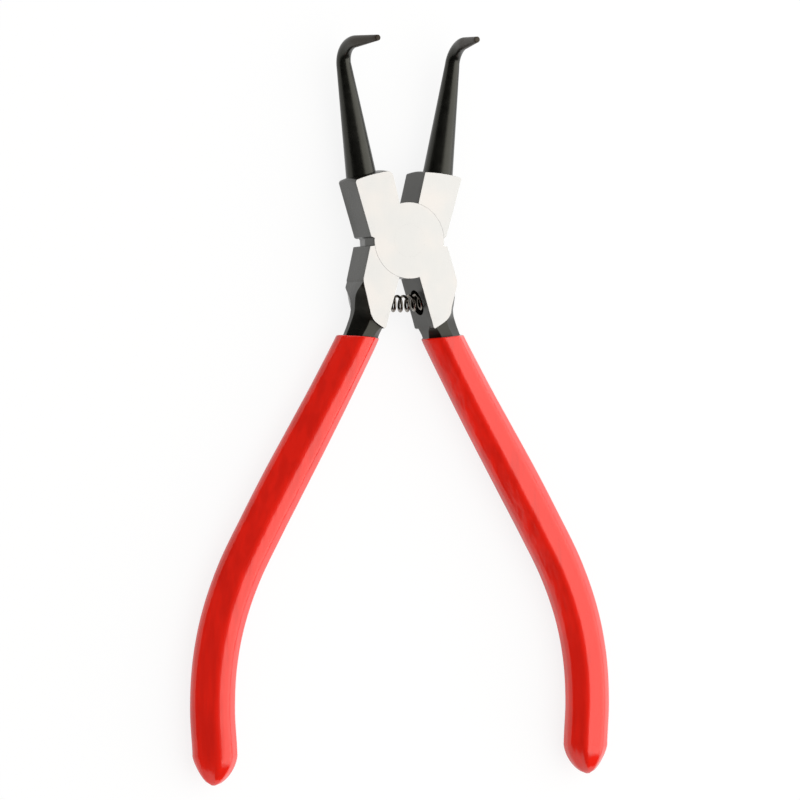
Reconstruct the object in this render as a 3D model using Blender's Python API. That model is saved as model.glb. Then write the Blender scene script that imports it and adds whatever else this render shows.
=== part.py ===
"""Internal snap-ring pliers, 180 mm long when closed, with both tips bent at a right angle.

+X points right, +Y towards the jaws and +Z up, out of the front face.
The origin lies on the pivot axis, level with the rear face of the head.
Each lever is drawn closed, about the pivot, and is then turned open about the pivot axis.
The front lever has the left jaw, the front half of the lap joint and the right handle.
The rear lever has the right jaw, the rear half of the joint and the left handle.
"""

import math

import bmesh
import bpy
import numpy as np

# Head and lap joint, in metres
HEAD_THICKNESS = 0.0107
JOINT_RADIUS = 0.0087
SOCKET_CLEARANCE = 0.0003
LAP_GAP = 0.0003
HALF_OPENING = math.radians(14.0)

# Jaw block, above the joint
JAW_BLOCK_HEIGHT = 0.0081
JAW_BLOCK_WIDTH = 0.0094
JAW_FACE_GAP = 0.0004
JAW_CORNER_RADIUS = 0.0013
JAW_SHOULDER_DEPTH = 0.0006
JAW_SHOULDER_ANGLE = math.radians(19.0)

# Round jaw, its bend and its tip
JAW_ROOT_RADIUS = 0.0035
JAW_BEND_RADIUS = 0.0017
JAW_LENGTH = 0.0258
JAW_ROOT_OFFSET = 0.0057
JAW_BEND_OFFSET = 0.00345
BEND_RADIUS = 0.0046
TIP_ROOT_RADIUS = 0.00132
TIP_END_RADIUS = 0.00068
TIP_LENGTH = 0.0117
TIP_END_OFFSET = 0.0010
TIP_EDGE_ROUNDING = 0.0004
ROOT_OVERLAP = 0.0030
ROOT_INSET = 0.0009

# Handle block, below the joint. Its flat face ends along (from the centre line, drop below the joint).
HANDLE_SHOULDER_DEPTH = 0.00095
HANDLE_SHOULDER_ANGLE = math.radians(22.0)
HANDLE_FACE_GAP = 0.0008
HANDLE_FACE_FLARE = 0.0006
HANDLE_FACE_EDGE = (
    (0.00905, 0.0026),
    (0.00855, 0.0039),
    (0.00710, 0.0066),
    (0.00600, 0.0087),
    (0.00530, 0.0100),
    (0.00400, 0.0113),
    (0.00130, 0.0123),
)

# Shank and tang: middle as (distance from the centre line, drop below the joint), then width and thickness
SHANK_LINE = (
    (0.00475, 0.0013, 0.0078, 0.0097),
    (0.00480, 0.0043, 0.0080, 0.0097),
    (0.00460, 0.0073, 0.0071, 0.0094),
    (0.00445, 0.0113, 0.0067, 0.0087),
    (0.00500, 0.0153, 0.0066, 0.0080),
    (0.00845, 0.0286, 0.0069, 0.0077),
    (0.01170, 0.0401, 0.0073, 0.0077),
    (0.01500, 0.0515, 0.0076, 0.0077),
    (0.01810, 0.0628, 0.0076, 0.0077),
    (0.02090, 0.0741, 0.0076, 0.0077),
    (0.02220, 0.0851, 0.0076, 0.0077),
    (0.02180, 0.0956, 0.0076, 0.0077),
    (0.01990, 0.1057, 0.0076, 0.0077),
    (0.01690, 0.1156, 0.0076, 0.0077),
    (0.01580, 0.1221, 0.0076, 0.0077),
)
SECTION_POWER = 2.4
TANG_END_GAP = 0.0045
TANG_END_ROUNDING = 0.0020

# Dipped grip
GRIP_WALL = 0.0010
GRIP_CLEARANCE = 0.0003
GRIP_MOUTH_DROP = 0.0151
GRIP_MOUTH_TURN = math.radians(-8.4)
GRIP_TURN_LENGTH = 0.0120
GRIP_END_ROUNDING = 0.0060
GRIP_END_POWER = 1.6
GRIP_END_FLAT = 0.12

# Rivet
RIVET_RADIUS = 0.00275
RIVET_HEAD_RADIUS = 0.00375
RIVET_HEAD_DEPTH = 0.0010
RIVET_CLEARANCE = 0.0003

# Return spring and the two blind holes that hold its ends
SPRING_DROP = 0.0060
SPRING_HOLE_RADIUS = 0.00275
SPRING_HOLE_DEPTH = 0.0030
SPRING_HOLE_CLEARANCE = 0.00075
SPRING_SEAT_GAP = 0.0003
WIRE_RADIUS = 0.00035
SPRING_TURNS = 9.5

# Fineness of the meshes
ARC_STEP = math.radians(8.0)
SOCKET_SIDES = 64
ROUND_SIDES = 32
JAW_SIDES = 24
TAPER_STATIONS = 5
BEND_STATIONS = 7
SECTION_SIDES = 20
WIRE_SIDES = 6
WIRE_STEPS_PER_TURN = 14
STATION_LENGTH = 0.0060
LINE_STEPS = 20
ROUNDING_STATIONS = 6
SHARP_ANGLE = math.radians(35.0)
CUT_MARGIN = 0.0010

BLACK_OXIDE = ((0.018, 0.018, 0.016), 0.34, 0.85)
GROUND_STEEL = ((0.62, 0.60, 0.57), 0.30, 1.0)
SPRING_STEEL = ((0.02, 0.018, 0.015), 0.22, 0.9)
RED_VINYL = ((0.60, 0.012, 0.008), 0.22, 0.0)

MID_HEIGHT = HEAD_THICKNESS / 2
JAW_TOP = JOINT_RADIUS + JAW_BLOCK_HEIGHT


def clear_scene():
    for obj in list(bpy.data.objects):
        bpy.data.objects.remove(obj, do_unlink=True)


def principled(name, finish):
    colour, roughness, metallic = finish
    surface = bpy.data.materials.new(name)
    surface.use_nodes = True
    shader = surface.node_tree.nodes["Principled BSDF"]
    shader.inputs["Base Color"].default_value = (*colour, 1.0)
    shader.inputs["Roughness"].default_value = roughness
    shader.inputs["Metallic"].default_value = metallic
    surface.diffuse_color = (*colour, 1.0)
    return surface


def solid(name, points, faces, finish=None):
    """A closed mesh object with its faces turned outwards."""
    mesh = bpy.data.meshes.new(name)
    mesh.from_pydata([tuple(point) for point in points], [], faces)
    shape = bmesh.new()
    shape.from_mesh(mesh)
    bmesh.ops.recalc_face_normals(shape, faces=shape.faces)
    shape.to_mesh(mesh)
    shape.free()
    mesh.shade_smooth()
    mesh.set_sharp_from_angle(angle=SHARP_ANGLE)
    obj = bpy.data.objects.new(name, mesh)
    bpy.context.scene.collection.objects.link(obj)
    if finish:
        mesh.materials.append(principled(name, finish))
    return obj


def lofted(name, rings, finish=None):
    """A solid through rings of as many points each, closed by a flat face at both ends."""
    count = len(rings[0])
    points = [point for ring in rings for point in ring]
    faces = [tuple(range(count)), tuple(range(len(points) - count, len(points)))]
    for start in range(0, len(points) - count, count):
        for i in range(count):
            j = (i + 1) % count
            faces.append((start + i, start + j, start + count + j, start + count + i))
    return solid(name, points, faces, finish)


def prism(name, outline, low, high, finish=None):
    return lofted(name, [[(x, y, z) for x, y in outline] for z in (low, high)], finish)


def circle(radius, height, sides):
    turns = [math.tau * i / sides for i in range(sides)]
    return [(radius * math.cos(a), radius * math.sin(a), height) for a in turns]


def turned(name, profile, sides, finish=None):
    """A solid of revolution about the pivot axis, from (radius, height) pairs."""
    return lofted(name, [circle(radius, height, sides) for radius, height in profile], finish)


def arc(centre, radius, start, end):
    """Points along an arc, both ends included, with angles in radians."""
    steps = max(2, math.ceil(abs(end - start) / ARC_STEP))
    angles = np.linspace(start, end, steps + 1)
    return [(centre[0] + radius * math.cos(a), centre[1] + radius * math.sin(a)) for a in angles]


def combine(target, other, operation):
    """Adds another solid to the target, or cuts it away. The other solid turns with the target."""
    other.parent = target
    other.hide_render = True
    other.display_type = "WIRE"
    step = target.modifiers.new(other.name, "BOOLEAN")
    step.solver = "EXACT"
    step.operation = operation
    step.object = other


def polar(radius, angle):
    return (radius * math.cos(angle), radius * math.sin(angle))


def handle_inner_face(drop):
    """Distance from the centre line to the inner face of the handle block, at a drop below the joint."""
    return HANDLE_FACE_GAP / 2 + HANDLE_FACE_FLARE * drop / HANDLE_FACE_EDGE[-1][1]


def head_outline(hand):
    """Plan of the head on the lever's own half of the joint. Hand +1 puts the jaw on the left."""
    jaw_side = JAW_FACE_GAP / 2
    disc_above = math.pi / 2 + math.asin(jaw_side / JOINT_RADIUS)
    disc_below = -math.pi / 2 + math.asin(handle_inner_face(0.0) / JOINT_RADIUS)
    jaw_shoulder = math.pi - JAW_SHOULDER_ANGLE
    handle_shoulder = -HANDLE_SHOULDER_ANGLE
    corner = (-jaw_side - JAW_CORNER_RADIUS, JAW_TOP - JAW_CORNER_RADIUS)
    points = arc(corner, JAW_CORNER_RADIUS, 0.0, math.pi / 2)
    points.append((-JAW_BLOCK_WIDTH, JAW_TOP))
    points.append(polar(JOINT_RADIUS + JAW_SHOULDER_DEPTH, jaw_shoulder))
    points += arc((0.0, 0.0), JOINT_RADIUS, jaw_shoulder, math.tau + disc_below)
    face_end = HANDLE_FACE_EDGE[-1][1]
    points.append((handle_inner_face(face_end), -JOINT_RADIUS - face_end))
    points += [(x, -JOINT_RADIUS - drop) for x, drop in reversed(HANDLE_FACE_EDGE)]
    points.append(polar(JOINT_RADIUS + HANDLE_SHOULDER_DEPTH, handle_shoulder))
    points += arc((0.0, 0.0), JOINT_RADIUS, handle_shoulder, disc_above)
    return [(hand * x, y) for x, y in points]


def jaw_rings(hand):
    """Rings of the round jaw: a taper along the block's top, a bend towards the front and the tip."""
    bend_start = JAW_TOP + JAW_LENGTH
    spine = [(JAW_ROOT_OFFSET, JAW_TOP - ROOT_OVERLAP, 0.0, 0.0, JAW_ROOT_RADIUS - ROOT_INSET)]
    for share in np.linspace(0.0, 1.0, TAPER_STATIONS):
        offset = JAW_ROOT_OFFSET + (JAW_BEND_OFFSET - JAW_ROOT_OFFSET) * share
        radius = JAW_ROOT_RADIUS + (JAW_BEND_RADIUS - JAW_ROOT_RADIUS) * share
        spine.append((offset, JAW_TOP + JAW_LENGTH * share, 0.0, 0.0, radius))
    bend_length = BEND_RADIUS * math.pi / 2
    past_bend = bend_length + TIP_LENGTH
    tip_slope = (TIP_END_OFFSET - JAW_BEND_OFFSET) / past_bend
    for share in np.linspace(0.0, 1.0, BEND_STATIONS + 1)[1:]:
        lift = share * math.pi / 2
        spine.append((
            JAW_BEND_OFFSET + tip_slope * bend_length * share,
            bend_start + BEND_RADIUS * math.sin(lift),
            BEND_RADIUS * (1.0 - math.cos(lift)),
            lift,
            JAW_BEND_RADIUS + (TIP_ROOT_RADIUS - JAW_BEND_RADIUS) * share,
        ))
    straight = TIP_LENGTH - TIP_EDGE_ROUNDING
    for along in (straight / 3, straight * 2 / 3, straight, TIP_LENGTH):
        radius = TIP_ROOT_RADIUS + (TIP_END_RADIUS - TIP_ROOT_RADIUS) * min(along / straight, 1.0)
        spine.append((
            JAW_BEND_OFFSET + tip_slope * (bend_length + along),
            bend_start + BEND_RADIUS,
            BEND_RADIUS + along,
            math.pi / 2,
            radius - max(along - straight, 0.0) / 2,
        ))
    rings = []
    for offset, along, rise, lift, radius in spine:
        ring = []
        for across, up, _ in circle(radius, 0.0, JAW_SIDES):
            y = along - up * math.sin(lift)
            z = MID_HEIGHT + rise + up * math.cos(lift)
            ring.append((-hand * (offset + across), y, z))
        rings.append(ring)
    return rings


def handle_line():
    """The handle's middle, smoothly through its stations: length so far, then x, y, width and thickness."""
    knots = np.array([(x, -JOINT_RADIUS - drop, w, t) for x, drop, w, t in SHANK_LINE])
    ends = np.vstack([2 * knots[0] - knots[1], knots, 2 * knots[-1] - knots[-2]])
    samples = []
    for i in range(1, len(ends) - 2):
        for u in np.arange(0.0, 1.0, 1.0 / LINE_STEPS):
            before, here, after, later = ends[i - 1 : i + 3]
            samples.append(
                here
                + 0.5 * u * (after - before)
                + u**2 * (before - 2.5 * here + 2.0 * after - 0.5 * later)
                + 0.5 * u**3 * (3.0 * (here - after) + later - before)
            )
    samples.append(knots[-1])
    samples = np.array(samples)
    steps = np.hypot(*np.diff(samples[:, :2], axis=0).T)
    return np.concatenate([[0.0], np.cumsum(steps)]), samples


def smooth(share):
    share = min(max(share, 0.0), 1.0)
    return share * share * (3.0 - 2.0 * share)


class Handle:
    """Sections across the handle. They turn towards the grip's dip line, which runs aslant."""

    def __init__(self):
        self.lengths, self.samples = handle_line()
        self.end = self.lengths[-1]
        self.headings = np.unwrap(np.arctan2(*np.gradient(self.samples[:, :2], axis=0).T[::-1]))
        self.mouth = float(np.interp(JOINT_RADIUS + GRIP_MOUTH_DROP, -self.samples[:, 1], self.lengths))

    def ring(self, at, spread, shrink, hand):
        """A rounded section at a length along the handle, grown by spread and then scaled by shrink."""
        x, y, width, thickness = (np.interp(at, self.lengths, column) for column in self.samples.T)
        square = float(np.interp(at, self.lengths, self.headings)) + math.pi / 2
        if at < self.mouth:
            turn = GRIP_MOUTH_TURN * smooth(at / self.mouth)
        else:
            turn = GRIP_MOUTH_TURN + (square - GRIP_MOUTH_TURN) * smooth((at - self.mouth) / GRIP_TURN_LENGTH)
        half_width = (width / 2 + spread) * shrink / math.cos(square - turn)
        half_thickness = (thickness / 2 + spread) * shrink
        ring = []
        for a in [math.tau * i / SECTION_SIDES for i in range(SECTION_SIDES)]:
            across = half_width * math.copysign(abs(math.cos(a)) ** (2 / SECTION_POWER), math.cos(a))
            up = half_thickness * math.copysign(abs(math.sin(a)) ** (2 / SECTION_POWER), math.sin(a))
            ring.append((hand * (x + across * math.cos(turn)), y + across * math.sin(turn), MID_HEIGHT + up))
        return ring

    def stations(self, start, end):
        return np.linspace(start, end, max(3, math.ceil((end - start) / STATION_LENGTH)))


def end_scale(left, length):
    """How far a rounded end has closed in, where left is the length that remains of the rounding."""
    share = min(max(left / length, 0.0), 1.0)
    rounded = (1.0 - (1.0 - share) ** GRIP_END_POWER) ** (1.0 / GRIP_END_POWER)
    return GRIP_END_FLAT + (1.0 - GRIP_END_FLAT) * rounded


def tang_rings(handle, hand):
    end = handle.end - TANG_END_GAP
    body = handle.stations(0.0, end - TANG_END_ROUNDING)
    rounding = np.linspace(end - TANG_END_ROUNDING, end, ROUNDING_STATIONS // 2 + 1)[1:]
    return [handle.ring(at, 0.0, end_scale(end - at, TANG_END_ROUNDING), hand) for at in (*body, *rounding)]


def grip(name, handle, hand):
    """A sleeve round the tang with one closed end. Its inside is the tang grown by the clearance."""
    inner_end = handle.end - TANG_END_GAP + GRIP_CLEARANCE
    body = handle.stations(handle.mouth, handle.end - GRIP_END_ROUNDING)
    rounding = np.linspace(handle.end - GRIP_END_ROUNDING, handle.end, ROUNDING_STATIONS + 1)[1:]
    outer = [
        handle.ring(at, GRIP_CLEARANCE + GRIP_WALL, end_scale(handle.end - at, GRIP_END_ROUNDING), hand)
        for at in (*body, *rounding)
    ]
    tang_body = handle.stations(0.0, inner_end - GRIP_CLEARANCE - TANG_END_ROUNDING)
    inner = [
        handle.ring(at, GRIP_CLEARANCE, 1.0, hand)
        for at in (handle.mouth, *[at for at in tang_body if at > handle.mouth], inner_end)
    ]
    return lofted(name, outer[::-1] + inner, RED_VINYL)


def rivet_profile(spread, margin):
    """Half-section of the countersunk rivet, grown by spread and carried past both faces by margin."""
    return (
        (RIVET_HEAD_RADIUS + spread, -margin),
        (RIVET_HEAD_RADIUS + spread, 0.0),
        (RIVET_RADIUS + spread, RIVET_HEAD_DEPTH),
        (RIVET_RADIUS + spread, HEAD_THICKNESS - RIVET_HEAD_DEPTH),
        (RIVET_HEAD_RADIUS + spread, HEAD_THICKNESS),
        (RIVET_HEAD_RADIUS + spread, HEAD_THICKNESS + margin),
    )


def spring_hole(name, hand):
    """Cutter for the blind hole in the handle block's inner face, which opens towards the other handle."""
    bottom = handle_inner_face(SPRING_DROP) + SPRING_HOLE_DEPTH
    rings = []
    for x in (-CUT_MARGIN, bottom):
        ring = circle(SPRING_HOLE_RADIUS, x, ROUND_SIDES)
        rings.append([(hand * x, -JOINT_RADIUS - SPRING_DROP + a, MID_HEIGHT + b) for a, b, _ in ring])
    return lofted(name, rings)


def lever(name, hand, handle):
    """One forging. Hand +1 owns the front half of the joint, hand -1 the rear half."""
    obj = prism(name, head_outline(hand), 0.0, HEAD_THICKNESS, BLACK_OXIDE)
    lap = MID_HEIGHT + hand * LAP_GAP / 2
    far = -CUT_MARGIN if hand > 0 else HEAD_THICKNESS + CUT_MARGIN
    socket_radius = JOINT_RADIUS + SOCKET_CLEARANCE
    socket = turned(f"{name}_socket", ((socket_radius, far), (socket_radius, lap)), SOCKET_SIDES)
    rivet_hole = turned(f"{name}_rivet_hole", rivet_profile(RIVET_CLEARANCE, CUT_MARGIN), ROUND_SIDES)
    combine(obj, socket, "DIFFERENCE")
    combine(obj, lofted(f"{name}_jaw", jaw_rings(hand)), "UNION")
    combine(obj, lofted(f"{name}_tang", tang_rings(handle, hand)), "UNION")
    combine(obj, rivet_hole, "DIFFERENCE")
    combine(obj, spring_hole(f"{name}_spring_hole", hand), "DIFFERENCE")
    obj.rotation_euler.z = hand * HALF_OPENING
    return obj


def return_spring():
    """A coil bent along an arc, so that each end stands square in its hole."""
    reach = handle_inner_face(SPRING_DROP) + SPRING_HOLE_DEPTH - SPRING_SEAT_GAP - WIRE_RADIUS
    drop = JOINT_RADIUS + SPRING_DROP
    end_x = reach * math.cos(HALF_OPENING) + drop * math.sin(HALF_OPENING)
    end_y = reach * math.sin(HALF_OPENING) - drop * math.cos(HALF_OPENING)
    bow = end_x / math.sin(HALF_OPENING)
    bow_centre = end_y + bow * math.cos(HALF_OPENING)
    coil_radius = SPRING_HOLE_RADIUS - SPRING_HOLE_CLEARANCE - WIRE_RADIUS
    steps = round(SPRING_TURNS * WIRE_STEPS_PER_TURN)
    spine = []
    for i in range(steps + 1):
        lean = HALF_OPENING * (2.0 * i / steps - 1.0)
        turn = math.tau * SPRING_TURNS * i / steps
        out = bow + coil_radius * math.cos(turn)
        spine.append((out * math.sin(lean), -out * math.cos(lean), coil_radius * math.sin(turn)))
    spine = np.array(spine)
    centres = np.array([
        (bow * math.sin(lean), -bow * math.cos(lean), 0.0)
        for lean in np.linspace(-HALF_OPENING, HALF_OPENING, steps + 1)
    ])
    along = np.gradient(spine, axis=0)
    along /= np.linalg.norm(along, axis=1)[:, None]
    outward = spine - centres
    outward -= (outward * along).sum(axis=1)[:, None] * along
    outward /= np.linalg.norm(outward, axis=1)[:, None]
    sideways = np.cross(along, outward)
    middle = np.array((0.0, -bow, 0.0))
    rings = [
        [spot - middle + a * out + b * side for a, b, _ in circle(WIRE_RADIUS, 0.0, WIRE_SIDES)]
        for spot, out, side in zip(spine, outward, sideways, strict=True)
    ]
    obj = lofted("return_spring", rings, SPRING_STEEL)
    obj.location = (0.0, bow_centre - bow, MID_HEIGHT)
    return obj


def build():
    clear_scene()
    handle = Handle()
    front = lever("front_lever", 1, handle)
    rear = lever("rear_lever", -1, handle)
    for name, hand, owner in (("right_grip", 1, front), ("left_grip", -1, rear)):
        grip(name, handle, hand).parent = owner
    turned("pivot_rivet", rivet_profile(0.0, 0.0)[1:-1], ROUND_SIDES, GROUND_STEEL).parent = rear
    return_spring()


build()
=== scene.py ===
"""Looks of the bent-tip snap-ring pliers: fine shapes and finishes of levers, grips, rivet and spring."""

import math

import bmesh
import bpy
import numpy as np
from mathutils import Matrix, Vector


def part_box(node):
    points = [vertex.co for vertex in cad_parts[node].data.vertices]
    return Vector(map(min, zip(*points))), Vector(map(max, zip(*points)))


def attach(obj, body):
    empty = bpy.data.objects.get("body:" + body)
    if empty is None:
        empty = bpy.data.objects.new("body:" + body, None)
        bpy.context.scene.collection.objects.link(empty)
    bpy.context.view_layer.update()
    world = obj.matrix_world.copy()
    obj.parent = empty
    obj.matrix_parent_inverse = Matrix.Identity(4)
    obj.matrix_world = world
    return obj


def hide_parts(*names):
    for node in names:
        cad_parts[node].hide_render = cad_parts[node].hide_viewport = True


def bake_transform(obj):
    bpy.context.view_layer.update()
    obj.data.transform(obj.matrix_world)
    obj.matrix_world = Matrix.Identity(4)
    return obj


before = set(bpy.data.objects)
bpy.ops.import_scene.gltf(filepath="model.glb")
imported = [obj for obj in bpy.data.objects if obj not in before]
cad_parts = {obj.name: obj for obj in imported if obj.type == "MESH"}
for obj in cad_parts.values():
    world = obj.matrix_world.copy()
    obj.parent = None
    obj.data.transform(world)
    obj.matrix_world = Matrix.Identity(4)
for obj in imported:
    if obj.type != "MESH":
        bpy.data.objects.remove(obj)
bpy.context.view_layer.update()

# Sizes are in metres and angles in radians. Where a size has a value for each lever, 1 is the front lever,
# with the left jaw and the right handle, and -1 is the rear lever.

# Camera: it looks from 24 degrees to the left of straight above the front face. The lens and the sensor are
# in millimetres.
CAMERA_SIDE_ANGLE = math.radians(24.27)
CAMERA_DISTANCE = 1.4087
CAMERA_DROP = -0.0030
CAMERA_ROLL = math.radians(-0.36)
CAMERA_TARGET_X = -0.0002
CAMERA_TARGET_Y = -0.03635
LENS = 277.2
SENSOR = 36.0

# How finely round shapes are divided, and the angles above which an edge is shaded sharp
ARC_STEP = math.radians(2.5)
INNER_CORNER_STEP = math.radians(10.0)
OUTER_CORNER_STEP = math.radians(15.0)
SOCKET_SIDES = 180
RIVET_SIDES = 96
JAW_SIDES = 56
SPRING_HOLE_SIDES = 48
SPRING_TURN_STEPS = 32
WIRE_SIDES = 14
EDGE_STEPS = 5
FORGED_SHARP = math.radians(32.0)
VINYL_SHARP = math.radians(60.0)
WIRE_SHARP = math.radians(50.0)

# What counts as a ground face: its normal, its distance from the outermost level, and the rim's normal
FLAT_NORMAL = 0.9999
LEVEL_TOLERANCE = 1e-6
RIM_NORMAL = 0.3

# Head
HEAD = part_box("pivot_rivet")[1].z
MID = HEAD / 2
JOINT_RADIUS = 0.0087
SOCKET_GAP = 0.000015
LAP_GAP = 0.00008
HALF_OPENING = math.radians(14.0)
FRONT_RIM = 0.00006
REAR_RIM = 0.00035
RIM_FADE = 0.0030
RIM_LEAST_SHARE = 0.2
RIM_CORNER_LIMIT = 0.6
SIDE_DRAFT = 0.0004
DRAFT_FADE = 0.0080
NOTCH_DRAFT = 0.0010
NOTCH_DRAFT_FADE = math.radians(9.0)

# Jaw block. The turned shoulder round the jaw falls away from its axis.
JAW_TOP = JOINT_RADIUS + 0.0081
JAW_BLOCK_WIDTH = {1: 0.0097, -1: 0.0094}
JAW_FACE_GAP = 0.0004
JAW_CORNER_RADIUS = {1: 0.0014, -1: 0.0004}
JAW_OUTER_RADIUS = {1: 0.0007, -1: 0.0005}
JAW_SHOULDER_DEPTH = {1: 0.00084, -1: 0.0006}
JAW_SHOULDER_ANGLE = math.radians(19.0)
JAW_SHOULDER_FOOT = math.radians(17.5)
SHOULDER_HEIGHT = {1: -0.00010, -1: 0.00020}
SHOULDER_LEAN = {1: -0.02, -1: 0.09}
SHOULDER_SLOPE = 0.16

# Round jaw. Its tips turn brown between two heights above the rear face.
JAW_ROOT_RADIUS = 0.0035
JAW_BEND_RADIUS = 0.0017
JAW_LENGTH = 0.02563
JAW_ROOT_OFFSET = 0.0057
JAW_ROOT_INSET = 0.0003
JAW_BEND_OFFSET = 0.00345
BEND_REACH = 0.0046
BEND_RISE = 0.0065
TIP_ROOT_RADIUS = 0.00138
TIP_END_RADIUS = 0.00068
TIP_LENGTH = 0.0098
TIP_END_OFFSET = 0.0010
BEND_SPREAD = {1: 0.00015, -1: -0.00015}
TIP_EDGE = 0.00012
ROOT_OVERLAP = 0.0030
BROWNED_FROM = 0.0085
BROWNED_FULLY = 0.0140

# Handle block: edge of the ground face as (from the centre line, drop below the joint)
HANDLE_SHOULDER_DEPTH = {1: 0.00095, -1: 0.00115}
HANDLE_SHOULDER_ANGLE = math.radians(22.0)
HANDLE_FACE_GAP = 0.0008
HANDLE_FACE_FLARE = 0.0006
HANDLE_FACE_END = 0.0123
HANDLE_POINT_DEPTH = 0.00025
HANDLE_FACE_EDGE = {
    1: (
        (0.00925, 0.0001),
        (0.00936, 0.0020),
        (0.00928, 0.0033),
        (0.00876, 0.0047),
        (0.00785, 0.0063),
        (0.00662, 0.0085),
        (0.00585, 0.0101),
        (0.00433, 0.0113),
        (0.00130, 0.0123),
    ),
    -1: (
        (0.00905, 0.0026),
        (0.00862, 0.0037),
        (0.00788, 0.0051),
        (0.00710, 0.0066),
        (0.00600, 0.0087),
        (0.00530, 0.0100),
        (0.00400, 0.0113),
        (0.00130, 0.0123),
    ),
}

# Forged flanks of the handle root, in millimetres from the centre line and from mid thickness. A row holds
# the drop below the joint, the upper edge of the outer strip (out, up), its lower edge (out, up), the outer
# edges of the flat top and the flat bottom, half the thickness, the inner side, half the height of the strip
# there, and the inner edge of the flat top.
FLANKS = (
    (0.0, 7.60, 4.60, 7.60, -4.60, 7.40, 7.40, 4.90, 1.40, 4.60, 1.70),
    (3.0, 8.75, 5.10, 8.55, -5.00, 8.60, 8.10, 5.33, 1.40, 4.80, 1.70),
    (3.7, 9.02, 5.00, 8.60, -5.00, 8.64, 8.20, 5.33, 1.40, 4.80, 1.70),
    (4.3, 9.08, 4.55, 8.64, -4.90, 8.36, 8.15, 5.33, 1.40, 4.80, 1.70),
    (5.0, 9.10, 3.70, 8.76, -3.60, 7.94, 7.80, 5.33, 1.40, 4.80, 1.70),
    (5.9, 9.10, 3.10, 8.86, -1.90, 7.46, 7.40, 5.33, 1.40, 4.80, 1.70),
    (6.7, 8.98, 2.80, 8.87, -0.70, 7.05, 7.05, 5.33, 1.40, 4.80, 1.70),
    (7.4, 8.75, 2.60, 8.70, -0.20, 6.68, 6.68, 5.33, 1.40, 4.80, 1.70),
    (8.3, 8.47, 2.35, 8.43, -0.10, 6.20, 6.20, 5.33, 1.40, 4.80, 1.70),
    (9.1, 8.18, 2.10, 8.19, -0.10, 5.77, 5.77, 5.33, 1.40, 4.80, 1.70),
    (10.0, 8.08, 1.95, 8.10, -0.10, 5.30, 5.30, 5.30, 1.40, 4.60, 1.70),
    (10.6, 8.08, 1.80, 8.08, -0.10, 5.10, 5.10, 5.00, 1.35, 4.20, 1.70),
    (11.3, 8.12, 1.78, 8.13, -0.10, 5.00, 5.00, 4.45, 1.10, 3.60, 1.70),
    (12.2, 8.22, 1.73, 8.25, -0.10, 5.05, 5.05, 4.27, 0.92, 3.50, 1.55),
    (13.2, 8.34, 1.70, 8.37, -0.10, 5.25, 5.25, 4.18, 0.80, 2.50, 2.30),
    (14.3, 8.54, 1.65, 8.57, -0.10, 5.60, 5.60, 4.08, 0.84, 1.95, 2.75),
    (15.1, 8.65, 1.60, 8.68, -0.10, 5.80, 5.80, 4.02, 0.86, 1.80, 2.90),
    (17.5, 9.00, 1.60, 9.00, -0.60, 6.40, 6.40, 3.90, 2.00, 1.44, 3.80),
)

# Handle: middle as (from the centre line, drop below the joint), then width and thickness
SHANK_LINE = (
    (0.00475, 0.0013, 0.0078, 0.0097),
    (0.00480, 0.0043, 0.0080, 0.0097),
    (0.00460, 0.0073, 0.0071, 0.0094),
    (0.00445, 0.0113, 0.0067, 0.0087),
    (0.00500, 0.0153, 0.0066, 0.0080),
    (0.00845, 0.0286, 0.0069, 0.0077),
    (0.01170, 0.0401, 0.0073, 0.0077),
    (0.01500, 0.0515, 0.0076, 0.0077),
    (0.01810, 0.0628, 0.0076, 0.0077),
    (0.02090, 0.0741, 0.0076, 0.0077),
    (0.02220, 0.0851, 0.0076, 0.0077),
    (0.02180, 0.0956, 0.0076, 0.0077),
    (0.01990, 0.1057, 0.0076, 0.0077),
    (0.01690, 0.1156, 0.0076, 0.0077),
    (0.01580, 0.1221, 0.0076, 0.0077),
)
TANG_CORNER = 0.3
TANG_ROOT_LENGTH = 0.0040
FORGED_EDGE = 0.00012
DIPPED_EDGE = 0.00090
EDGE_LIMIT = 0.45

# Corners of the dipped section, as shares of half its width. The flat top and bottom are at half the
# thickness, shown as 1.
GRIP_CORNERS = {
    1: (
        (0.95, -0.36), (0.95, 0.38), (0.36, 1.0), (-0.48, 1.0),
        (-1.0, 0.26), (-1.0, -0.33), (-0.42, -1.0), (0.38, -1.0),
    ),
    -1: (
        (1.0, -0.33), (1.0, 0.12), (0.22, 1.0), (-0.36, 1.0),
        (-0.95, 0.38), (-0.95, -0.36), (-0.42, -1.0), (0.38, -1.0),
    ),
}
TANG_END_GAP = 0.0045
TANG_END_ROUNDING = 0.0020
GRIP_SKIN = 0.00128
GRIP_CLING = 0.00002
GRIP_LIP = 0.0003
GRIP_MOUTH_DROP = 0.0151
GRIP_MOUTH_DEPTH = 0.0020
GRIP_MOUTH_TURN = math.radians(-8.4)
GRIP_TURN_LENGTH = 0.0120
GRIP_END_ROUNDING = 0.0068
GRIP_END_POWER = 1.5
GRIP_END_FLAT = 0.08

# Rivet, spring and the spring's holes
RIVET_RADIUS = 0.00275
RIVET_HEAD_RADIUS = 0.00375
RIVET_HEAD_DEPTH = 0.0010
RIVET_GAP = 0.000004
SPRING_DROP = 0.0060
SPRING_HOLE_RADIUS = 0.0030
SPRING_HOLE_DEPTH = 0.0030
SPRING_RADIUS = 0.00172
SPRING_SEAT_GAP = 0.0003
WIRE_RADIUS = 0.00032
SPRING_TURNS = 8.0
CUT_MARGIN = 0.0010

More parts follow.
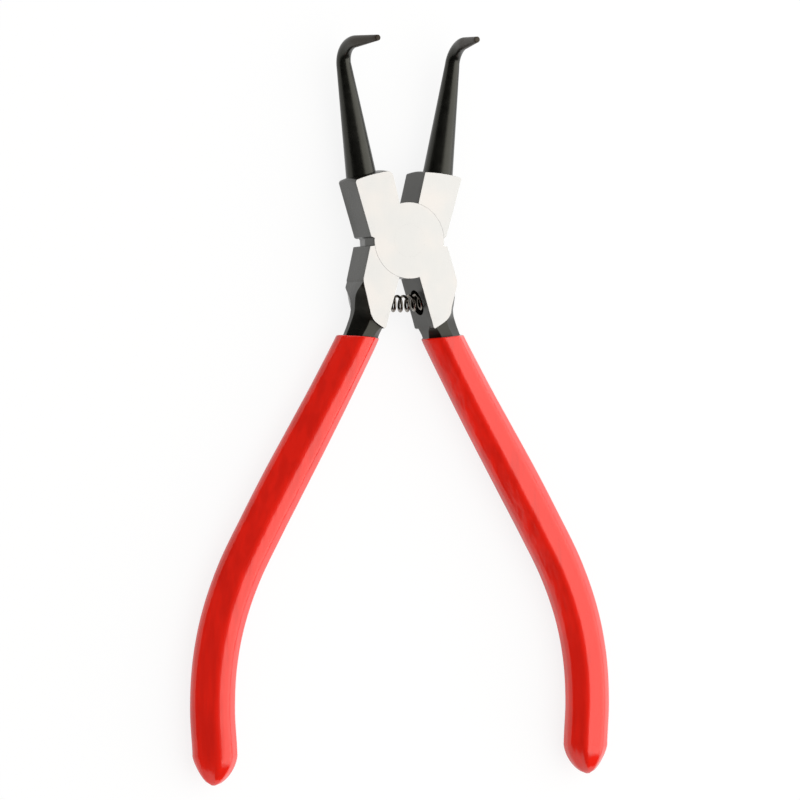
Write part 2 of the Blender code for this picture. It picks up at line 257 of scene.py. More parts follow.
# Studio, laid out round the joint: a softbox to the right, black cards to the left and at the foot
SOFTBOX_PLACE = (0.595, -0.04, 0.804)
SOFTBOX_SIZE = (1.90, 2.4)
SOFTBOX_GLOW = 1.45
SOFTBOX_COLOUR = (1.0, 0.985, 0.955)
LEFT_CARD = {"centre": (-0.502, -0.04, 0.444), "facing": (0.749, 0.0, -0.663), "size": (4.0, 3.0)}
FOOT_CARD = {"centre": (0.0, -1.10, 0.35), "facing": (0.0, 0.95, -0.31), "size": (3.0, 0.74)}
CARD_BLACK = (0.012, 0.012, 0.012)
FLOOR_REACH = 6.0
FLOOR_DROP = 0.00005
FLOOR_GLOW_SHARE = 0.86
SKY_LIGHT = 0.50


def make_camera():
    """A long lens at the photograph's angle, with its small roll."""
    back = Vector((-math.sin(CAMERA_SIDE_ANGLE), 0.0, math.cos(CAMERA_SIDE_ANGLE)))
    target = Vector((CAMERA_TARGET_X, CAMERA_TARGET_Y, MID))
    place = target + CAMERA_DISTANCE * back + Vector((0.0, CAMERA_DROP, 0.0))
    back = (place - target).normalized()
    right = Vector((0.0, 1.0, 0.0)).cross(back).normalized()
    up = back.cross(right)
    turn = math.cos(CAMERA_ROLL), math.sin(CAMERA_ROLL)
    right, up = turn[0] * right + turn[1] * up, turn[0] * up - turn[1] * right
    data = bpy.data.cameras.new("camera")
    data.lens = LENS
    data.sensor_width = SENSOR
    data.clip_start = 0.05
    data.clip_end = 50.0
    camera = bpy.data.objects.new("camera", data)
    axes = Matrix((right, up, back)).transposed().to_4x4()
    camera.matrix_world = Matrix.Translation(place) @ axes
    bpy.context.scene.collection.objects.link(camera)
    bpy.context.scene.camera = camera


class Socket:
    """A shader socket that Python's operators work on. Each operator adds a Math node."""

    def __init__(self, nodes, socket):
        self.nodes = nodes
        self.socket = socket

    def math(self, operation, other):
        return self.nodes.node("ShaderNodeMath", {"operation": operation}, {0: self, 1: other})

    def __add__(self, other):
        return self.math("ADD", other)

    def __radd__(self, other):
        return self.math("ADD", other)

    def __mul__(self, other):
        return self.math("MULTIPLY", other)

    def __rmul__(self, other):
        return self.math("MULTIPLY", other)

    def between(self, low, high):
        """0 at low, 1 at high and smooth in between."""
        settings = {"interpolation_type": "SMOOTHSTEP"}
        sockets = {"Value": self, "From Min": low, "From Max": high}
        return self.nodes.node("ShaderNodeMapRange", settings, sockets)


class Nodes:
    """The node tree of a material or of the world."""

    def __init__(self, tree):
        self.tree = tree

    def node(self, kind, settings=None, sockets=None, output=0):
        """Any node: its settings first, then its sockets' values or links."""
        made = self.tree.nodes.new(kind)
        for name, value in (settings or {}).items():
            setattr(made, name, value)
        for key, value in (sockets or {}).items():
            self.feed(made.inputs[key], value)
        return Socket(self, made.outputs[output])

    def feed(self, socket, value):
        """A link from another node, or a value. A colour's alpha is added."""
        if isinstance(value, Socket):
            self.tree.links.new(value.socket, socket)
        elif isinstance(value, tuple) and len(value) == 3 and len(socket.default_value) == 4:
            socket.default_value = (*value, 1.0)
        else:
            socket.default_value = value

    def seen(self):
        """1 for what the camera sees, straight or reflected or through glass, and 0 for the light."""
        kinds = ("Camera", "Glossy", "Transmission")
        rays = [self.node("ShaderNodeLightPath", output=f"Is {kind} Ray") for kind in kinds]
        return rays[0].math("MAXIMUM", rays[1]).math("MAXIMUM", rays[2])


class Surface(Nodes):
    """One material, built round a Principled shader."""

    def __init__(self, name, **constants):
        self.material = bpy.data.materials.new(name)
        self.material.use_nodes = True
        super().__init__(self.material.node_tree)
        self.shader = self.tree.nodes["Principled BSDF"]
        self.output = self.tree.nodes["Material Output"]
        for socket, value in constants.items():
            self.set(socket.replace("_", " "), value)

    def set(self, name, value):
        """Feeds one of the shader's own sockets."""
        self.feed(self.shader.inputs[name], value)

    def place(self, scale, turn=(0.0, 0.0, 0.0)):
        """Object coordinates, turned and stretched."""
        where = self.node("ShaderNodeTexCoord", output="Object")
        return self.node("ShaderNodeMapping", {}, {"Vector": where, "Scale": scale, "Rotation": turn})

    def axis(self, name):
        """One of the object coordinates."""
        where = self.node("ShaderNodeTexCoord", output="Object")
        return self.node("ShaderNodeSeparateXYZ", {}, {0: where}, name)

    def noise(self, scale, detail, roughness=0.55, where=None):
        """Noise over the object's own coordinates, or over other ones."""
        where = where or self.node("ShaderNodeTexCoord", output="Object")
        sockets = {"Vector": where, "Scale": scale, "Detail": detail, "Roughness": roughness}
        return self.node("ShaderNodeTexNoise", {}, sockets)

    def mix(self, share, a, b):
        """Colour a where share is 0 and colour b where it is 1."""
        return self.node("ShaderNodeMix", {"data_type": "RGBA"}, {0: share, 6: a, 7: b}, 2)

    def bump(self, height, distance):
        sockets = {"Height": height, "Distance": distance, "Strength": 1.0}
        self.set("Normal", self.node("ShaderNodeBump", {}, sockets))


def black_oxide():
    """Oiled black oxide over a forged and turned surface, browned by heat towards the tips."""
    surface = Surface(
        "black_oxide", Metallic=0.0, IOR=1.5, Specular_IOR_Level=0.45, Specular_Tint=(1.0, 0.99, 0.86)
    )
    mottle = surface.noise(420.0, 4.0)
    patches = surface.noise(90.0, 2.0)
    grain = surface.noise(2600.0, 3.0, 0.6)
    height = surface.axis("Z")
    browned = height.between(BROWNED_FROM, BROWNED_FULLY)
    black = surface.mix(mottle.between(0.35, 0.75), (0.0042, 0.0042, 0.0036), (0.0085, 0.0085, 0.0072))
    colour = surface.mix(browned, black, (0.017, 0.008, 0.003))
    surface.set("Base Color", colour)
    surface.set("Roughness", 0.20 + 0.10 * patches.between(0.3, 0.7) + 0.05 * mottle + 0.22 * browned)
    surface.bump(grain + 0.6 * mottle, 0.000012)
    return surface.material


def ground_steel():
    """Flat faces ground bright, with fine straight grinding lines across them and a thin warm lacquer."""
    surface = Surface("ground_steel", Metallic=1.0)
    grinding = surface.place((14000.0, 260.0, 260.0), (0.0, 0.0, math.radians(8.0)))
    lines = surface.noise(1.0, 4.0, 0.6, grinding)
    clouds = surface.noise(130.0, 2.0)
    warm = surface.mix(clouds.between(0.35, 0.70), (0.474, 0.470, 0.458), (0.510, 0.488, 0.466))
    surface.set("Base Color", surface.mix(lines.between(0.3, 0.8) * 0.35, warm, (0.535, 0.528, 0.515)))
    surface.set("Roughness", 0.40 + 0.08 * lines)
    surface.bump(lines, 0.000002)
    return surface.material


def red_vinyl():
    """Glossy dipped vinyl. It ran down slowly as it set, which left long shallow waves along the handle."""
    surface = Surface("red_vinyl", Metallic=0.0, IOR=1.55, Specular_Tint=(1.0, 0.98, 0.92))
    clouds = surface.noise(60.0, 2.0)
    runs = surface.noise(1.0, 2.0, 0.5, surface.place((420.0, 55.0, 420.0)))
    peel = surface.noise(900.0, 2.0)
    share = 0.4 * clouds.between(0.3, 0.7) + 0.6 * runs.between(0.35, 0.65)
    surface.set("Base Color", surface.mix(share, (0.70, 0.0105, 0.0040), (0.88, 0.0145, 0.0055)))
    surface.set("Roughness", 0.13 + 0.05 * peel)
    surface.bump(runs + 0.05 * peel, 0.00010)
    return surface.material


def spring_steel():
    """Drawn wire, blackened and oiled, and worn bright in streaks."""
    surface = Surface("spring_steel", Metallic=1.0)
    scratches = surface.noise(1800.0, 3.0)
    worn = scratches.between(0.4, 0.8)
    surface.set("Base Color", surface.mix(worn, (0.20, 0.18, 0.155), (0.34, 0.31, 0.27)))
    surface.set("Roughness", 0.16 + 0.12 * scratches)
    return surface.material


def mesh_piece(name, points, faces, material):
    """A mesh with its faces turned outwards and shaded smooth."""
    mesh = bpy.data.meshes.new(name)
    mesh.from_pydata([tuple(point) for point in points], [], faces)
    shape = bmesh.new()
    shape.from_mesh(mesh)
    bmesh.ops.recalc_face_normals(shape, faces=shape.faces)
    shape.to_mesh(mesh)
    shape.free()
    mesh.materials.append(material)
    mesh.shade_smooth()
    obj = bpy.data.objects.new(name, mesh)
    bpy.context.scene.collection.objects.link(obj)
    return obj


def lofted(name, rings, material):
    """A solid through rings of as many points each, closed at both ends."""
    count = len(rings[0])
    points = [point for ring in rings for point in ring]
    faces = [tuple(range(count)), tuple(range(len(points) - count, len(points)))]
    for start in range(0, len(points) - count, count):
        for i in range(count):
            j = (i + 1) % count
            faces.append((start + i, start + j, start + count + j, start + count + i))
    return mesh_piece(name, points, faces, material)


def circle(radius, height, sides):
    """Points round a circle at a height, starting at +X."""
    turns = [math.tau * i / sides for i in range(sides)]
    return [(radius * math.cos(a), radius * math.sin(a), height) for a in turns]


def turned(name, profile, sides, material):
    """A solid turned about +Z, from its profile as (radius, height)."""
    return lofted(name, [circle(radius, height, sides) for radius, height in profile], material)


def arc(centre, radius, start, end, step=ARC_STEP):
    """Points on an arc from one angle to another, with both of its ends."""
    steps = max(4, math.ceil(abs(end - start) / step))
    angles = np.linspace(start, end, steps + 1)
    return [(centre[0] + radius * math.cos(a), centre[1] + radius * math.sin(a)) for a in angles]


def polar(radius, angle):
    """A point by its distance from the joint and its angle from +X."""
    return (radius * math.cos(angle), radius * math.sin(angle))


def smoothed(knots, steps):
    """Points on a smooth curve through the knots, with steps of them from each knot to the next."""
    knots = np.array(knots, float)
    ends = np.vstack([2 * knots[0] - knots[1], knots, 2 * knots[-1] - knots[-2]])
    samples = []
    for i in range(1, len(ends) - 2):
        for u in np.arange(0.0, 1.0, 1.0 / steps):
            before, here, after, later = ends[i - 1 : i + 3]
            samples.append(
                here
                + 0.5 * u * (after - before)
                + u**2 * (before - 2.5 * here + 2.0 * after - 0.5 * later)
                + 0.5 * u**3 * (3.0 * (here - after) + later - before)
            )
    samples.append(knots[-1])
    return np.array(samples)


def straight(start, end, count):
    """Points from start up to, but without, end."""
    shares = np.linspace(0.0, 1.0, count, endpoint=False)
    return [tuple(np.array(start) * (1.0 - s) + np.array(end) * s) for s in shares]


def smooth(share):
    """0 below 0, 1 above 1 and an even S in between."""
    share = min(max(share, 0.0), 1.0)
    return share * share * (3.0 - 2.0 * share)


def handle_inner_face(drop):
    """Distance from the centre line to the face between the handles, at a drop below the joint."""
    return HANDLE_FACE_GAP / 2 + HANDLE_FACE_FLARE * drop / HANDLE_FACE_END


def shoulder_top(across, up, hand):
    """Height of the turned shoulder at a distance from the centre line and from mid thickness."""
    away = math.hypot(across - JAW_ROOT_OFFSET, up) - JAW_ROOT_RADIUS
    lean = SHOULDER_LEAN[hand] * (across - JAW_ROOT_OFFSET)
    return JAW_TOP + SHOULDER_HEIGHT[hand] + lean + SHOULDER_SLOPE * (HEAD / 2 - JAW_ROOT_RADIUS - away)


def jaw_block(start, up, depth, hand):
    """Outline from the joint's top over the jaw block to the shoulder beside the joint."""
    face = JAW_FACE_GAP / 2
    width = JAW_BLOCK_WIDTH[hand] - SIDE_DRAFT * depth
    inner, outer = JAW_CORNER_RADIUS[hand], JAW_OUTER_RADIUS[hand]
    inner_centre = (-face - inner, shoulder_top(face + inner, up, hand) - inner)
    outer_centre = (outer - width, shoulder_top(width - outer, up, hand) - outer)
    shoulder_reach = JOINT_RADIUS + JAW_SHOULDER_DEPTH[hand] - SIDE_DRAFT * depth
    shoulder = polar(shoulder_reach, math.pi - JAW_SHOULDER_ANGLE)
    points = straight(start, (-face, inner_centre[1]), 4)
    points += arc(inner_centre, inner, 0.0, math.pi / 2, INNER_CORNER_STEP)
    points += [(-x, shoulder_top(x, up, hand)) for x in np.linspace(face + inner, width - outer, 16)[1:]]
    points += arc(outer_centre, outer, math.pi / 2, math.pi, OUTER_CORNER_STEP)[1:]
    points += straight((-width, outer_centre[1]), shoulder, 5)[1:]
    points += straight(shoulder, polar(JOINT_RADIUS, math.pi - JAW_SHOULDER_FOOT), 2)
    return points


def handle_block(start, depth, hand):
    """Outline from the joint's foot round the root of the handle to the shoulder beside the joint."""
    shoulder_reach = JOINT_RADIUS + HANDLE_SHOULDER_DEPTH[hand] - SIDE_DRAFT * depth
    shoulder = polar(shoulder_reach, -HANDLE_SHOULDER_ANGLE)
    edge = smoothed(HANDLE_FACE_EDGE[hand], 4)
    edge[:, 0] -= SIDE_DRAFT * depth * np.clip(1.0 - (edge[:, 1] - edge[0, 1]) / DRAFT_FADE, 0.0, 1.0)
    edge = [(x, -JOINT_RADIUS - drop) for x, drop in edge]
    inner_end = handle_inner_face(HANDLE_FACE_END)
    points = straight(start, (inner_end, -JOINT_RADIUS - HANDLE_FACE_END), 5)[1:]
    points.append((inner_end, edge[-1][1] + HANDLE_POINT_DEPTH))
    points += edge[::-1]
    points += straight(edge[0], shoulder, 4)[1:]
    points.append(shoulder)
    return points


def notch_side(end, up, hand):
    """The joint's edge in the notch. The rear lever's is drawn in more and more towards its rear face."""
    low = max(0.0, -up / (HEAD / 2)) if hand < 0 else 0.0
    points = []
    for x, y in arc((0.0, 0.0), JOINT_RADIUS, -HANDLE_SHOULDER_ANGLE, end)[:-1]:
        past = math.atan2(y, x) + HANDLE_SHOULDER_ANGLE
        drawn = NOTCH_DRAFT * low * (1.0 - smooth((past - NOTCH_DRAFT_FADE) / NOTCH_DRAFT_FADE))
        points.append(tuple(np.array((x, y)) * (1.0 - drawn / JOINT_RADIUS)))
    return points


def head_contour(up, hand):
    """Plan of the head at a height from mid thickness, for a jaw on the left."""
    depth = (HEAD / 2 - up) / HEAD
    joint_top = math.pi / 2 + math.asin(JAW_FACE_GAP / 2 / JOINT_RADIUS)
    joint_foot = -math.pi / 2 + math.asin(handle_inner_face(0.0) / JOINT_RADIUS)
    points = jaw_block(polar(JOINT_RADIUS, joint_top), up, depth, hand)
    points += arc((0.0, 0.0), JOINT_RADIUS, math.pi - JAW_SHOULDER_FOOT, math.tau + joint_foot)
    points += handle_block(points[-1], depth, hand)
    points += notch_side(joint_top, up, hand)
    return np.array(points)


def drawn_in(points, inset):
    """The outline moved inwards, for a rounded rim, but hardly at the thin end of the handle block."""
    low_end = points[:, 1].min()
    inset = inset * np.clip((points[:, 1] - low_end) / RIM_FADE, RIM_LEAST_SHARE, 1.0)[:, None]
    ahead = np.roll(points, -1, axis=0) - points
    ahead /= np.linalg.norm(ahead, axis=1)[:, None]
    normals = np.column_stack([-ahead[:, 1], ahead[:, 0]])
    joined = normals + np.roll(normals, 1, axis=0)
    joined /= np.maximum((joined * joined).sum(axis=1) / 2, RIM_CORNER_LIMIT)[:, None]
    return points + inset * joined


def head_rings(hand):
    """Levels of the head from its rear face to its front face, with a rounded rim at both."""
    half = HEAD / 2
    rear, front = REAR_RIM, FRONT_RIM
    levels = [(-half + rear * (1.0 - math.cos(a)), rear * (1.0 - math.sin(a))) for a in (0.0, 0.4, 0.8, 1.2)]
    levels += [(up, 0.0) for up in np.linspace(-half + rear, half - front, 15)]
    levels += [(half - front * (1.0 - math.cos(a)), front * (1.0 - math.sin(a))) for a in (0.8, 0.0)]
    rings = []
    for up, inset in levels:
        outline = drawn_in(head_contour(up, hand), inset)
        rings.append([(hand * x, y, MID + up) for x, y in outline])
    return rings


def jaw_rings(hand):
    """Rings of the round jaw: a taper along the block's top, a bend towards the front and the tip."""
    bend_start = JAW_TOP + JAW_LENGTH
    bend_offset = JAW_BEND_OFFSET + BEND_SPREAD[hand]
    spine = [(JAW_ROOT_OFFSET, JAW_TOP - ROOT_OVERLAP, 0.0, 0.0, JAW_ROOT_RADIUS - JAW_ROOT_INSET)]
    for share in np.linspace(0.0, 1.0, 15):
        offset = JAW_ROOT_OFFSET + (bend_offset - JAW_ROOT_OFFSET) * share
        radius = JAW_ROOT_RADIUS + (JAW_BEND_RADIUS - JAW_ROOT_RADIUS) * share
        spine.append((offset, JAW_TOP + JAW_LENGTH * share, 0.0, 0.0, radius))
    bend_length = (BEND_REACH + BEND_RISE) / 2 * math.pi / 2
    tip_slope = (TIP_END_OFFSET + BEND_SPREAD[hand] / 2 - bend_offset) / (bend_length + TIP_LENGTH)
    for share in np.linspace(0.0, 1.0, 19)[1:]:
        turn = share * math.pi / 2
        spine.append((
            bend_offset + tip_slope * bend_length * share,
            bend_start + BEND_REACH * math.sin(turn),
            BEND_RISE * (1.0 - math.cos(turn)),
            math.atan2(BEND_RISE * math.sin(turn), BEND_REACH * math.cos(turn)),
            JAW_BEND_RADIUS + (TIP_ROOT_RADIUS - JAW_BEND_RADIUS) * share,
        ))
    straight_end = TIP_LENGTH - TIP_EDGE
    for along in (*np.linspace(0.0, straight_end, 9)[1:], TIP_LENGTH - 0.4 * TIP_EDGE, TIP_LENGTH):
        radius = TIP_ROOT_RADIUS + (TIP_END_RADIUS - TIP_ROOT_RADIUS) * min(along / straight_end, 1.0)
        past = max(along - straight_end, 0.0)
        spine.append((
            bend_offset + tip_slope * (bend_length + along),
            bend_start + BEND_REACH,
            BEND_RISE + along,
            math.pi / 2,
            radius - past * past / TIP_EDGE,
        ))
    rings = []
    for offset, along, rise, lift, radius in spine:
        ring = []
        for across, up, _ in circle(radius, 0.0, JAW_SIDES):
            y = along - up * math.sin(lift)
            z = MID + rise + up * math.cos(lift)
            ring.append((-hand * (offset + across), y, z))
        rings.append(ring)
    return rings


def rounded(corners, reach):
    """The outline through the corners, each rounded over the same reach, or less where a side is short."""
    corners = np.array(corners)
    outline = []
    earlier, later = np.roll(corners, 1, axis=0), np.roll(corners, -1, axis=0)
    for before, here, after in zip(earlier, corners, later, strict=True):
        back, on = before - here, after - here
        start = here + back * min(reach / np.linalg.norm(back), EDGE_LIMIT)
        end = here + on * min(reach / np.linalg.norm(on), EDGE_LIMIT)
        for t in np.linspace(0.0, 1.0, EDGE_STEPS):
            outline.append((1.0 - t) ** 2 * start + 2.0 * t * (1.0 - t) * here + t * t * end)
    return outline


class Handle:
    """Sections across the handle. They turn towards the grip's dip line, which is not square to it."""

    def __init__(self):
        knots = [(x, -JOINT_RADIUS - drop, width, thickness) for x, drop, width, thickness in SHANK_LINE]
        self.samples = smoothed(knots, 20)
        steps = np.hypot(*np.diff(self.samples[:, :2], axis=0).T)
        self.lengths = np.concatenate([[0.0], np.cumsum(steps)])
        self.end = self.lengths[-1]
        run, climb = np.gradient(self.samples[:, :2], axis=0).T
        self.headings = np.unwrap(np.arctan2(climb, run))
        self.mouth = float(np.interp(JOINT_RADIUS + GRIP_MOUTH_DROP, -self.samples[:, 1], self.lengths))

    def ring(self, at, outline, hand, shrink=1.0):
        """A section at a length along the handle. Its outline is given across the middle and up from it."""
        x, y, _, _ = self.middle(at)
        square = float(np.interp(at, self.lengths, self.headings)) + math.pi / 2
        if at < self.mouth:
            turn = GRIP_MOUTH_TURN * smooth(at / self.mouth)
            stretch = 1.0 / math.cos(turn)
        else:
            past = smooth((at - self.mouth) / GRIP_TURN_LENGTH)
            turn = GRIP_MOUTH_TURN + (square - GRIP_MOUTH_TURN) * past
            stretch = 1.0 / math.cos(square - turn)
        out, ahead = math.cos(turn) * stretch * shrink, math.sin(turn) * stretch * shrink
        return [(hand * (x + across * out), y + across * ahead, MID + up * shrink) for across, up in outline]

    def middle(self, at):
        """Place in plan, width and thickness at a length along the handle."""
        return [float(np.interp(at, self.lengths, column)) for column in self.samples.T]

    def tang_outline(self, at, grown=0.0):
        """Forged section: flat top and bottom, sloping flanks and a narrow strip down each side."""
        x, y, width, thickness = self.middle(at)
        rows = np.array(FLANKS) / 1000.0
        drop = -y - JOINT_RADIUS
        row = [float(np.interp(drop, rows[:, 0], column)) for column in rows.T]
        _, out, high, low_out, low, top, bottom, half, inside, inner_high, inner_top = row
        past = smooth((drop - rows[-2, 0]) / (rows[-1, 0] - rows[-2, 0]))
        w, t = width / 2, thickness / 2
        plain = ((w, -TANG_CORNER * t), (w, TANG_CORNER * t), (TANG_CORNER * w, t), (-TANG_CORNER * w, t))
        plain += tuple((-a, -b) for a, b in plain)
        forged = ((low_out - x, low), (out - x, high), (top - x, half), (inner_top - x, half))
        forged += ((inside - x, inner_high), (inside - x, -inner_high))
        forged += ((inner_top - x, -half), (bottom - x, -half))
        corners = np.array(forged) * (1.0 - past) + np.array(plain) * past
        corners += grown * np.sign(corners)
        return rounded(corners, FORGED_EDGE)

    def grip_outline(self, at, spread, hand):
        """Dipped section: the forged one under a thick skin, with soft edges."""
        _, _, width, thickness = self.middle(at)
        w, t = width / 2 + spread, thickness / 2 + spread
        corners = [(across * w, up * (t if abs(up) == 1.0 else w)) for across, up in GRIP_CORNERS[hand]]
        return rounded(corners, DIPPED_EDGE)


def end_scale(left, length):
    """Size of a section near a blunt closed end, as a share, from the length that is left to the end."""
    share = min(max(left / length, 0.0), 1.0)
    bulge = (1.0 - (1.0 - share) ** GRIP_END_POWER) ** (1.0 / GRIP_END_POWER)
    return GRIP_END_FLAT + (1.0 - GRIP_END_FLAT) * bulge


def tang_rings(handle, hand):
    """The forged handle down to its end inside the grip, with more rings where it is seen."""
    end = handle.end - TANG_END_GAP
    root_end = handle.mouth + TANG_ROOT_LENGTH
    fine = np.linspace(0.0, root_end, 60)
    coarse = np.linspace(root_end, end - TANG_END_ROUNDING, 24)[1:]
    rounding = np.linspace(end - TANG_END_ROUNDING, end, 5)[1:]
    return [
        handle.ring(at, handle.tang_outline(at), hand, end_scale(end - at, TANG_END_ROUNDING))
        for at in (*fine, *coarse, *rounding)
    ]


def grip_piece(name, handle, hand, material):
    """The dipped sleeve: a rounded lip, a long smooth skin, and a blunt closed end where the drip set."""
    body = np.linspace(handle.mouth + GRIP_LIP, handle.end - GRIP_END_ROUNDING, 90)
    rounding = handle.end - GRIP_END_ROUNDING * np.cos(np.linspace(0.0, math.pi / 2, 16))[1:]
    rings = []
    for at in reversed((*body, *rounding)):
        shrink = end_scale(handle.end - at, GRIP_END_ROUNDING)
        rings.append(handle.ring(at, handle.grip_outline(at, GRIP_SKIN, hand), hand, shrink))
    for lift in (0.4, 0.8, 1.2, math.pi / 2):
        at = handle.mouth + GRIP_LIP * (1.0 - math.sin(lift))
        spread = GRIP_SKIN - GRIP_LIP * (1.0 - math.cos(lift))
        rings.append(handle.ring(at, handle.grip_outline(at, spread, hand), hand))
    for at in np.linspace(handle.mouth, handle.mouth + GRIP_MOUTH_DEPTH, 3):
        rings.append(handle.ring(at, handle.tang_outline(at, GRIP_CLING), hand))
    return lofted(name, rings, material)


def rivet_profile(spread, margin):
    """A shank with a coned head in each face, as (radius, height), or the hole for it."""
    return (
        (RIVET_HEAD_RADIUS + spread, -margin),
        (RIVET_HEAD_RADIUS + spread, 0.0),
        (RIVET_RADIUS + spread, RIVET_HEAD_DEPTH),
        (RIVET_RADIUS + spread, HEAD - RIVET_HEAD_DEPTH),
        (RIVET_HEAD_RADIUS + spread, HEAD),
        (RIVET_HEAD_RADIUS + spread, HEAD + margin),
    )


def spring_hole(name, hand, material):
    """A blind hole, as the solid to cut away, from the face between the handles."""
    bottom = handle_inner_face(SPRING_DROP) + SPRING_HOLE_DEPTH
    rings = []
    for x in (-CUT_MARGIN, bottom):
        ring = circle(SPRING_HOLE_RADIUS, x, SPRING_HOLE_SIDES)
        rings.append([(hand * x, -JOINT_RADIUS - SPRING_DROP + a, MID + b) for a, b, _ in ring])
    return lofted(name, rings, material)


def combine(target, other, operation):
    """Adds another solid to the target, or cuts it away, and leaves one mesh."""
    step = target.modifiers.new(other.name, "BOOLEAN")
    step.solver = "EXACT"
    step.operation = operation
    step.object = other
    graph = bpy.context.evaluated_depsgraph_get()
    target.data = bpy.data.meshes.new_from_object(target.evaluated_get(graph))
    target.modifiers.clear()
    bpy.data.objects.remove(other)


def lever(name, hand, handle, body, black, ground):
    """One forging, cut away where the other lever's half of the joint lies, with bright ground faces."""
    obj = lofted(name, head_rings(hand), black)
    lap = MID + hand * LAP_GAP / 2
    far = -CUT_MARGIN if hand > 0 else HEAD + CUT_MARGIN
    socket_radius = JOINT_RADIUS + SOCKET_GAP
    socket_profile = ((socket_radius, far), (socket_radius, lap))
    combine(obj, turned("socket", socket_profile, SOCKET_SIDES, black), "DIFFERENCE")
    combine(obj, lofted("jaw", jaw_rings(hand), black), "UNION")
    combine(obj, lofted("tang", tang_rings(handle, hand), black), "UNION")
    combine(obj, turned("hole", rivet_profile(RIVET_GAP, CUT_MARGIN), RIVET_SIDES, black), "DIFFERENCE")
    combine(obj, spring_hole("spring_hole", hand, black), "DIFFERENCE")
    mesh = obj.data
    mesh.materials.clear()
    mesh.materials.append(black)
    mesh.materials.append(ground)
    for face in mesh.polygons:
        flat = abs(face.normal.z) > FLAT_NORMAL
        outermost = min(abs(face.center.z), abs(face.center.z - HEAD)) < LEVEL_TOLERANCE
        rim = face.normal.z > RIM_NORMAL and HEAD - FRONT_RIM < face.center.z < HEAD
        face.material_index = 1 if rim or flat and outermost else 0
    mesh.transform(Matrix.Rotation(hand * HALF_OPENING, 4, "Z"))
    finish_shading(obj)
    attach(obj, body)
    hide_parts(name.removesuffix("_detail"))


def finish_shading(obj, angle=FORGED_SHARP):
    """Smooth shading that breaks only at edges sharper than the angle."""
    obj.data.shade_smooth()
    obj.data.set_sharp_from_angle(angle=angle)
    weighted = obj.modifiers.new("weighted", "WEIGHTED_NORMAL")
    weighted.keep_sharp = True
    weighted.weight = 100


def rivet_piece(material):
    """The rivet's closed ends, ground off with the faces they are flush with."""
    obj = turned("pivot_rivet_detail", rivet_profile(0.0, 0.0)[1:-1], RIVET_SIDES, material)
    finish_shading(obj)
    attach(obj, "rear_half")
    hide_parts("pivot_rivet")


def spring_piece(material):
    """A coil bent along an arc, so that each end stands square in its hole."""
    reach = handle_inner_face(SPRING_DROP) + SPRING_HOLE_DEPTH - SPRING_SEAT_GAP - WIRE_RADIUS
    drop = JOINT_RADIUS + SPRING_DROP
    end_x = reach * math.cos(HALF_OPENING) + drop * math.sin(HALF_OPENING)
    end_y = reach * math.sin(HALF_OPENING) - drop * math.cos(HALF_OPENING)
    bow = end_x / math.sin(HALF_OPENING)
    bow_centre = end_y + bow * math.cos(HALF_OPENING)
    steps = round(SPRING_TURNS * SPRING_TURN_STEPS)
    spine = []
    for i in range(steps + 1):
        lean = HALF_OPENING * (2.0 * i / steps - 1.0)
        turn = -math.tau * SPRING_TURNS * i / steps
        out = bow + SPRING_RADIUS * math.cos(turn)
        up = SPRING_RADIUS * math.sin(turn)
        spine.append((out * math.sin(lean), bow_centre - out * math.cos(lean), MID + up))
    spine = np.array(spine)
    middles = np.array([
        (bow * math.sin(lean), bow_centre - bow * math.cos(lean), MID)
        for lean in np.linspace(-HALF_OPENING, HALF_OPENING, steps + 1)
    ])
    along = np.gradient(spine, axis=0)
    along /= np.linalg.norm(along, axis=1)[:, None]
    outward = spine - middles
    outward -= (outward * along).sum(axis=1)[:, None] * along
    outward /= np.linalg.norm(outward, axis=1)[:, None]
    sideways = np.cross(along, outward)
    rings = [
        [spot + a * out + b * side for a, b, _ in circle(WIRE_RADIUS, 0.0, WIRE_SIDES)]
        for spot, out, side in zip(spine, outward, sideways, strict=True)
    ]
    obj = lofted("return_spring_detail", rings, material)
    obj.data.set_sharp_from_angle(angle=WIRE_SHARP)
    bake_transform(obj)
    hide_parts("return_spring")


def make_floor():
    """A pale floor that looks white and still takes the object's shadow."""
    corners = [(x * FLOOR_REACH, y * FLOOR_REACH, 0.0) for x, y in ((-1, -1), (1, -1), (1, 1), (-1, 1))]
    surface = Surface(
        "pale_floor", Metallic=0.0, Roughness=0.9, Base_Color=(0.80, 0.80, 0.80), Specular_IOR_Level=0.0
    )
    paint = Socket(surface, surface.shader.outputs[0])
    glow = surface.node("ShaderNodeEmission", {}, {"Color": (1.0, 1.0, 1.0), "Strength": 1.0})
    pale = surface.node("ShaderNodeBsdfDiffuse", {}, {"Color": (0.90, 0.90, 0.90)})
    white = surface.node("ShaderNodeMixShader", {}, {0: FLOOR_GLOW_SHARE, 1: pale, 2: glow})
    shown = surface.node("ShaderNodeMixShader", {}, {0: surface.seen(), 1: paint, 2: white})
    surface.feed(surface.output.inputs["Surface"], shown)
    floor = mesh_piece("floor", corners, [(0, 1, 2, 3)], surface.material)
    floor.location.z = -FLOOR_DROP


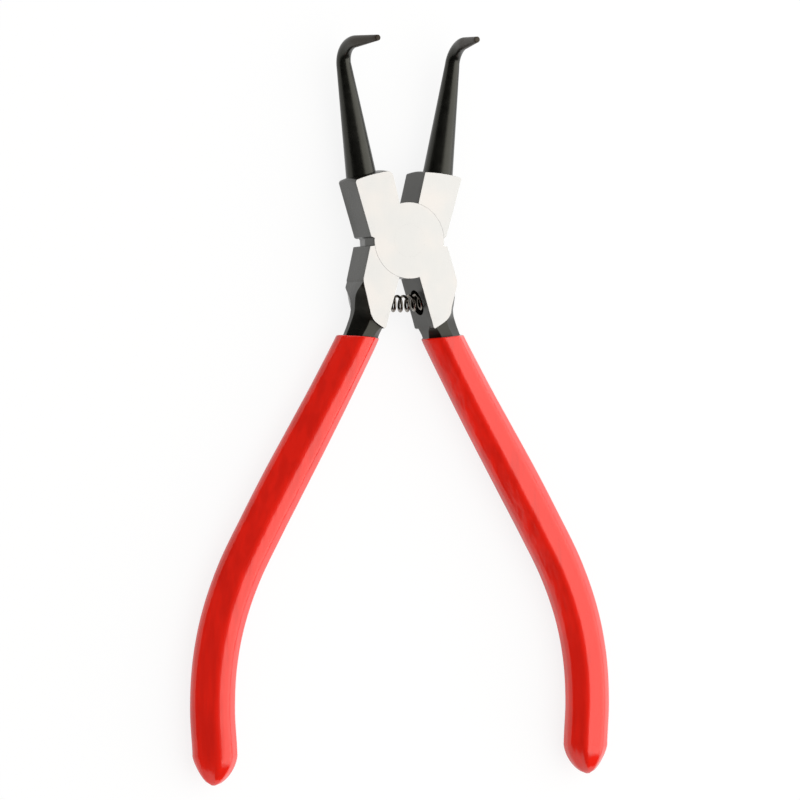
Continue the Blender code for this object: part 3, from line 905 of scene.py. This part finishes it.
def card(name, centre, facing, size):
    """A black studio card that shapes the reflections and is out of the camera's sight."""
    surface = Surface(name, Metallic=0.0, Roughness=1.0, Base_Color=CARD_BLACK, Specular_IOR_Level=0.0)
    corners = [(x * size[0] / 2, y * size[1] / 2, 0.0) for x, y in ((-1, -1), (1, -1), (1, 1), (-1, 1))]
    obj = mesh_piece(name, corners, [(0, 1, 2, 3)], surface.material)
    obj.location = centre
    obj.rotation_euler = Vector(facing).to_track_quat("Z", "Y").to_euler()
    obj.visible_camera = False
    obj.visible_diffuse = False
    obj.visible_shadow = False


def make_softbox():
    """A softbox that faces the pliers. Its power follows from how bright its face is."""
    data = bpy.data.lights.new("softbox_right", "AREA")
    data.shape = "RECTANGLE"
    data.color = SOFTBOX_COLOUR
    data.size, data.size_y = SOFTBOX_SIZE
    data.energy = SOFTBOX_GLOW * math.pi * data.size * data.size_y
    obj = bpy.data.objects.new("softbox_right", data)
    obj.location = SOFTBOX_PLACE
    toward = Vector((0.0, CAMERA_TARGET_Y, 0.0)) - Vector(SOFTBOX_PLACE)
    obj.rotation_euler = toward.to_track_quat("-Z", "Y").to_euler()
    obj.visible_camera = False
    bpy.context.scene.collection.objects.link(obj)


def make_sky():
    """A world that looks white and gives half as much light."""
    world = bpy.data.worlds.new("studio")
    world.use_nodes = True
    nodes = Nodes(world.node_tree)
    background = nodes.tree.nodes["Background"]
    nodes.feed(background.inputs["Color"], (1.0, 1.0, 1.0))
    nodes.feed(background.inputs["Strength"], SKY_LIGHT + (1.0 - SKY_LIGHT) * nodes.seen())
    bpy.context.scene.world = world


def make_studio():
    """The floor, the light from all round, the softbox and the black cards."""
    make_floor()
    make_sky()
    make_softbox()
    card("black_card_left", **LEFT_CARD)
    card("black_card_foot", **FOOT_CARD)


make_camera()
bpy.context.scene.view_settings.view_transform = "Standard"

oxide = black_oxide()
bright = ground_steel()
vinyl = red_vinyl()
wire = spring_steel()
handle_shape = Handle()

lever("front_lever_detail", 1, handle_shape, "front_half", oxide, bright)
lever("rear_lever_detail", -1, handle_shape, "rear_half", oxide, bright)
rivet_piece(bright)
spring_piece(wire)

for piece_name, hand_side, body_name in (("right_grip", 1, "front_half"), ("left_grip", -1, "rear_half")):
    sleeve = grip_piece(f"{piece_name}_detail", handle_shape, hand_side, vinyl)
    sleeve.data.transform(Matrix.Rotation(hand_side * HALF_OPENING, 4, "Z"))
    finish_shading(sleeve, VINYL_SHARP)
    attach(sleeve, body_name)
    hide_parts(piece_name)

make_studio()
